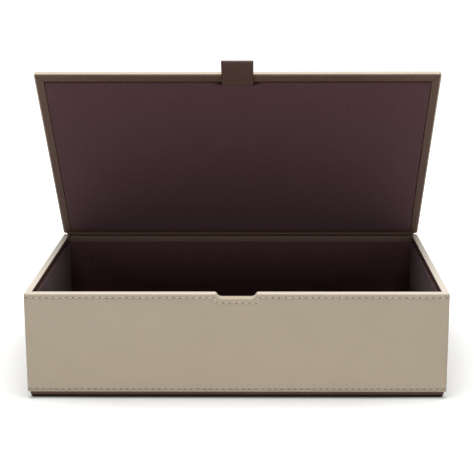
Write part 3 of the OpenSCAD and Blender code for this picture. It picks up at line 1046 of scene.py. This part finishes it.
# %% Cut the edging strips
edging_w, edging_r = 6.2 * mm, 0.35 * mm
lining_half, lining_front = frame_half - edging_w, frame_front + edging_w


def edging_strip(word, low, high, mitres):
    """A mitre is a test for the inner corner's points and the way in which they are drawn back."""
    strip = block(word + "_edging", (*low, lid_under), (*high, lid_base))
    open_up(strip)
    for wanted, way in mitres:
        pick("VERT", wanted)
        bpy.ops.transform.translate(value=way)
    pick("EDGE", lambda e: near(middle(e).z, lid_under))
    round_off(edging_r, 3)
    smooth(strip)
    swing(strip)
    place(strip, "lid", edging_leather, f"lid_{word}_edging")


def inner_corner(side):
    return lambda v: v.co.x * side > 0 and near(v.co.y, lining_front)


front_mitres = [(inner_corner(side), (-side * edging_w, 0, 0)) for side in (-1, 1)]
edging_strip("front", (-frame_half, frame_front), (frame_half, lining_front), front_mitres)
for side, word in ((-1, "left"), (1, "right")):
    x_low, x_high = sorted((side * frame_half, side * lining_half))
    mitre = (lambda v: near(abs(v.co.x), lining_half) and near(v.co.y, frame_front), (0, edging_w, 0))
    edging_strip(word, (x_low, frame_front), (x_high, frame_back), [mitre])
print("edging:", round(edging_w / mm, 1), "mm wide")

# %% [markdown]
# ### The padded lining
#
# The lining is a card with thin padding under cloth, glued into the edging. It is a little full,
# and its front edge dips where it passes round the pull tab. A grid is given rolled edges and
# pulled in at the tab. Then a short cloth simulation blows the face up while its rim is pinned,
# and the movement is capped, so that the lining stays as thin as the padding is. The simulation
# gives soft puckers that would take long to sculpt.

# %% Draw the lining and pull it in at the tab
lining_back, lining_low, lining_r, groove = frame_back - 5.5 * mm, rim_z - 0.7 * mm, 0.8 * mm, 0.5 * mm
dip, dip_slope, dip_fades = 3.2 * mm, 7.6 * mm, 28 * mm
let_go()
bpy.ops.mesh.primitive_grid_add(x_subdivisions=120, y_subdivisions=70, size=1)
lining = bpy.context.object
lining.location = (0, (lining_front + lining_back) / 2, lining_low + lining_r)
lining.scale = (2 * (lining_half - groove), lining_back - lining_front - 2 * groove, 1)
named("padded_lining")
open_up(lining)
pick_all()
bpy.ops.mesh.flip_normals()
roll_edge(lining_r, 3)
pick("EDGE", on_rim)
draw_edge((0, 0, lid_base - lining_low - lining_r))
shape = bmesh.from_edit_mesh(lining.data)
for v in shape.verts:
    beside = min(max((tab_half + dip_slope - abs(v.co.x)) / dip_slope, 0), 1)
    fade = max(0, 1 - (v.co.y - lining_front) / dip_fades)
    v.co.y += dip * beside * beside * (3 - 2 * beside) * fade
bmesh.update_edit_mesh(lining.data)
bpy.ops.object.mode_set(mode="OBJECT")
print("lining:", len(lining.data.vertices), "vertices")

# %% Blow the lining up a little
face_slack, cap, ticks = 0.02 * mm, 1.2 * mm, 20
pins = lining.vertex_groups.new(name="glued rim")
glued = [v.index for v in lining.data.vertices if v.co.z > lining_low + face_slack]
pins.add(glued, 1, "REPLACE")
before = [v.co.copy() for v in lining.data.vertices]
hold(lining)
cloth = lining.modifiers.new("Cloth", "CLOTH")
cloth.settings.quality = 4
cloth.settings.mass = 0.3
cloth.settings.use_pressure = True
cloth.settings.uniform_pressure_force = 1.5
cloth.settings.vertex_group_mass = pins.name
cloth.settings.effector_weights.gravity = 0
for tick in range(1, ticks + 1):
    bpy.context.scene.frame_set(tick)
bpy.ops.object.modifier_apply(modifier=cloth.name)
bpy.context.scene.frame_set(1)
furthest = 0
for v, start in zip(lining.data.vertices, before):
    move = v.co - start
    furthest = max(furthest, move.length)
    v.co = start + move * (cap / max(cap, move.length))
print("cloth moved up to", round(furthest / mm, 2), "mm, capped at", round(cap / mm, 1))
keep(lining, "SUBSURF", levels=1, render_levels=1)
smooth(lining, 60)
swing(lining)
place(lining, "lid", lining_cloth, "lid_lining")
print("lining finished:", len(lining.data.polygons), "faces")

# %% [markdown]
# ## Strips of leather that bend
#
# The pull tab, the hinge and the spine are strips with one side view all along their width. So
# each starts as a plane as wide as the strip, and its edge is extruded from point to point of the
# side view. The first edge is put on the first point and hidden, so that the second can be moved
# by itself. Round bends are points on an arc, and Solidify gives the leather its thickness.

# %% Draw a strip along its side view
def bend(centre, r, start, end, steps):
    angles = [math.radians(start + (end - start) * k / steps) for k in range(steps + 1)]
    return [(centre[0] + r * math.cos(a), centre[1] + r * math.sin(a)) for a in angles]


def leather_strip(name, half, side_view):
    side_view = [Vector((0, *p)) for p in side_view]
    let_go()
    bpy.ops.mesh.primitive_plane_add(size=1)
    strip = bpy.context.object
    strip.scale = (2 * half, 1, 1)
    named(name)
    open_up(strip)
    for wanted, goal in ((lambda v: v.co.y < 0, side_view[0]), (lambda v: v.co.y > 0, side_view[1])):
        pick("VERT", wanted)
        shape = bmesh.from_edit_mesh(strip.data)
        there = next(v.co.copy() for v in shape.verts if v.select)
        bpy.ops.transform.translate(value=(0, goal.y - there.y, goal.z - there.z))
        for v in shape.verts:
            v.hide = v.select
    bpy.ops.mesh.reveal(select=False)
    end = side_view[1]
    pick("EDGE", lambda e: all((v.co - end).yz.length < hairline for v in e.verts))
    for a, b in zip(side_view[1:], side_view[2:]):
        draw_edge(b - a)
    bpy.ops.object.mode_set(mode="OBJECT")
    return strip


print("strips can be drawn")

# %% [markdown]
# ### The pull tab
#
# A tongue of leather is folded over at its tip, so that it is two layers thick, and its upper end
# goes under the lining. It is drawn as one strip that turns round at the tip. Its side view starts
# at the cut end, which lies against the lining, and ends between the lining and the board.

# %% Fold the pull tab
fold_r = 1 * mm
tip_y, fold_z = lid_front - tab_out + fold_r, lid_under - fold_r
base_y = lining_front + dip
side_view = [(base_y + 0.5 * mm, fold_z + 0.3 * mm), (base_y - 0.1 * mm, fold_z - 0.35 * mm)]
side_view += [(base_y - 0.6 * mm, fold_z - 0.8 * mm), (base_y - 1.3 * mm, fold_z - fold_r)]
side_view += bend((tip_y, fold_z), fold_r, 270, 90, 10)
side_view += [(lining_front - 0.3 * mm, lid_under), (lining_front + 0.4 * mm, lid_base - 0.1 * mm)]
side_view += [(base_y + 7.8 * mm, lid_base - 0.1 * mm)]
tab = leather_strip("folded_tab", tab_half, side_view)
thicken(tab, 0.85 * mm)
sharp = math.radians(60)
keep(tab, "BEVEL", width=0.12 * mm, segments=2, limit_method="ANGLE", angle_limit=sharp)
smooth(tab, 50)
swing(tab)
place(tab, "lid", tab_leather, "pull_tab")
print("tab:", len(tab.data.polygons), "faces")

# %% [markdown]
# ### The hinge and the spine
#
# Two strips of leather carry the lid. The brown hinge leather comes up inside the back wall, over
# its edge and on to the lid's underside. The taupe spine leather comes up the back and over the
# lid. Both cross the joint, and each is drawn as it lies when the lid is open.

# %% Lay the hinge leather inside the fold
def opened(y, z):
    """Where a point of the closed lid's side view lies on the open lid."""
    cos, sin = math.cos(math.radians(lid_open)), math.sin(math.radians(lid_open))
    dy, dz = y - hinge.y, z - hinge.z
    return (hinge.y + dy * cos + dz * sin, hinge.z - dy * sin + dz * cos)


def lay_strip(strip, finish, cad_node):
    """Gives a strip that crosses the joint its finish and lets it stand for its CAD node."""
    cover_with(finish, strip)
    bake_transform(strip)
    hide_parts(cad_node)
    print(strip.name, "has", len(strip.data.polygons), "faces and crosses the joint")


hinge_r, hinge_down, crease_in = 3 * mm, 20 * mm, 1.31 * mm
inside = [(inner_y, rim_z - hinge_down)]
inside += bend((inner_y + hinge_r, rim_z - hinge_r), hinge_r, 180, 90, 6)
crease = opened(hinge.y - crease_in, lid_under)
inside += [(inner_y + 3.4 * mm, rim_z), (inner_y + 3.7 * mm, rim_z + 0.25 * mm)]
inside += [(crease[0] - 0.2 * mm, crease[1] - 0.4 * mm), crease]
inside += [opened(lining_back + 3 * mm, lid_under), opened(lining_back + 0.1 * mm, lid_under)]
hinge_strip = leather_strip("hinge_strip", inner_w, inside)
open_up(hinge_strip)
at_fold = (rim_z + 0.2 * mm, crease[1] + 0.1 * mm, inner_w + 2 * mm)
on_lid = (crease[1] + 0.2 * mm, 1, lining_half)
for low, high, half in (at_fold, on_lid):
    pick("VERT", lambda v: low < v.co.z < high)
    bpy.ops.transform.resize(value=(half / inner_w, 1, 1), center_override=(0, hinge.y, low))
thicken(hinge_strip)
smooth(hinge_strip, 60)
lay_strip(hinge_strip, shaded_hinge_finish, "hinge_leather")

# %% Lay the spine leather outside the fold
outside = [(back_y, rim_z - spine_down), (back_y, hinge.z - 0.9 * mm), (back_y, hinge.z - 0.5 * mm)]
outside += [(back_y + 0.05 * mm, hinge.z - 0.22 * mm), opened(back_y, lid_base - 0.3 * mm)]
outside += [opened(back_y, lid_top - lid_edge_r)]
rolled = bend((back_y - lid_edge_r, lid_top - lid_edge_r), lid_edge_r, 0, 90, 5)
outside += [opened(*p) for p in rolled[1:]] + [opened(spine_edge, lid_top)]
spine_strip = leather_strip("spine_strip", spine_w, outside)
open_up(spine_strip)
pick_all()
bpy.ops.mesh.flip_normals()
thicken(spine_strip)
smooth(spine_strip, 60)
lay_strip(spine_strip, spine_finish, "spine_leather")

# %% Sew the spine to the lid
lid_row = (Vector((0, 0, lid_top)), X, Y, Z, level_row(spine_end, spine_edge + row_in))
lid_thread = sew("lid_thread", [lid_row], cream_thread, rim_hole_shade)
swing(lid_thread)
settle(lid_thread, "lid", "lid_stitching")
for pattern_piece in (one_stitch, one_hole):
    bpy.data.objects.remove(pattern_piece)
print("lid row sewn")

# %% [markdown]
# ## Floor and light
#
# The photograph is a studio picture: a big soft light above, a fill from the camera's side and a
# floor that burns out to white, so that only a tight shadow shows under the box. The floor is pale
# and it glows for the camera and in reflections, fully from 0.4 m outwards and hardly under the
# box, which leaves only the shadow at the foot. The room is white to look at and adds little
# light. The lamps are set so that a colour renders about as it was mixed.

# %% Lay the floor
floor_size, floor_gap = 8, 0.02 * mm
glow_from_to, glow_low_high = (0.14, 0.4), (0.12, 1)
let_go()
bpy.ops.mesh.primitive_plane_add(size=floor_size, location=(0, 0, -floor_gap))
floor = named("studio_floor")
floor_finish = bpy.data.materials.new("studio floor")
floor_finish.use_nodes = True
bench = Bench(floor_finish.node_tree)
skin = floor_finish.node_tree.nodes["Principled BSDF"]
skin.inputs["Base Color"].default_value = tint("#d8d8d6")
skin.inputs["Roughness"].default_value = 0.9
skin.inputs["Specular IOR Level"].default_value = 0.0
skin.inputs["Emission Color"].default_value = (1, 1, 1, 1)
away = bench.node("ShaderNodeVectorMath", operation="LENGTH")
bench.plug(bench.node("ShaderNodeTexCoord").outputs["Object"], away.inputs[0])
glow = bench.span(away.outputs["Value"], *glow_from_to, *glow_low_high)
bench.plug(bench.sum("MULTIPLY", bench.seen_by_camera(), glow), skin.inputs["Emission Strength"])
floor.data.materials.append(floor_finish)
floor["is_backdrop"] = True
print("floor laid")

# %% Hang the lamps and light the room
def softbox(name, spot, aim, size, watts):
    data = bpy.data.lights.new(name, "AREA")
    data.shape, data.size, data.size_y, data.energy = "RECTANGLE", size[0], size[1], watts
    lamp = bpy.data.objects.new(name, data)
    lamp.location = spot
    lamp.rotation_euler = (Vector(aim) - Vector(spot)).to_track_quat("-Z", "Y").to_euler()
    bpy.context.scene.collection.objects.link(lamp)


softbox("top_light", spot=(0, -0.15, 1.6), aim=(0, 0, 0), size=(1.6, 1.2), watts=38)
softbox("front_light", spot=(0, -2.2, 0.35), aim=(0, 0, 0.08), size=(2.2, 0.5), watts=12)

room = bpy.data.worlds.new("studio room")
bpy.context.scene.world = room
room.use_nodes = True
bench = Bench(room.node_tree)
air = room.node_tree.nodes["Background"]
air.inputs["Color"].default_value = (1, 1, 1, 1)
as_light, as_backdrop = 0.05, 1
strength = bench.span(bench.seen_by_camera(), 0, 1, as_light, as_backdrop)
bench.plug(strength, air.inputs["Strength"])
bpy.context.scene.view_settings.view_transform = "Standard"
print("lamps hung")

# %% [markdown]
# ## The size of the dressed box
#
# The dressed box must stay as big as the CAD model, so its bounds are printed.

# %% Print the dressed box's size
low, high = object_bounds()
print("visual box:", [round(x, 4) for x in low], [round(x, 4) for x in high])
